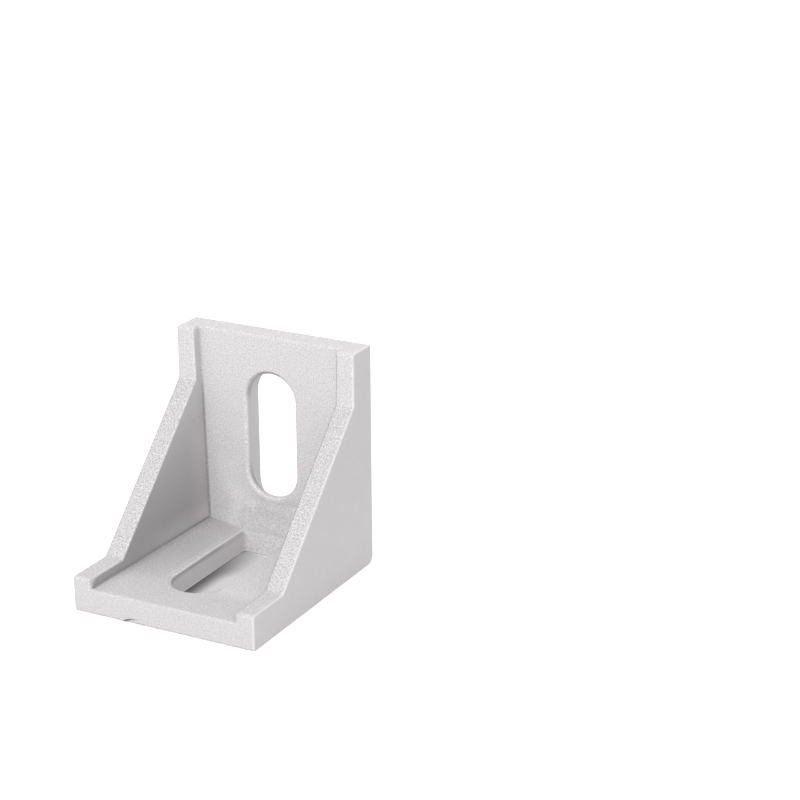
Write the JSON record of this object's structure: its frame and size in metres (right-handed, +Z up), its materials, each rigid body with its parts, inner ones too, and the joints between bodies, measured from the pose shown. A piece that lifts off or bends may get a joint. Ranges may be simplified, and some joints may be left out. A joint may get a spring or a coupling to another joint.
{
  "type": "corner bracket",
  "caption": "Right-angle cast aluminium bracket with equal legs, a bolt slot in each leg and sloping side ribs, for joining slotted profiles.",
  "frame": {"origin": "middle of the base leg's mounting face, in the plane that it is bolted down on", "axes": "+Z up along the upright leg, +Y out through the upright leg's mounting face, so the base leg's tip is at -Y, and +X across the bracket"},
  "size_m": [0.035, 0.04, 0.04],
  "materials": {
    "cast_aluminium": "shot-blasted casting"
  },
  "bodies": {
    "root": {"corner_bracket": "cast_aluminium"}
  },
  "joints": []
}
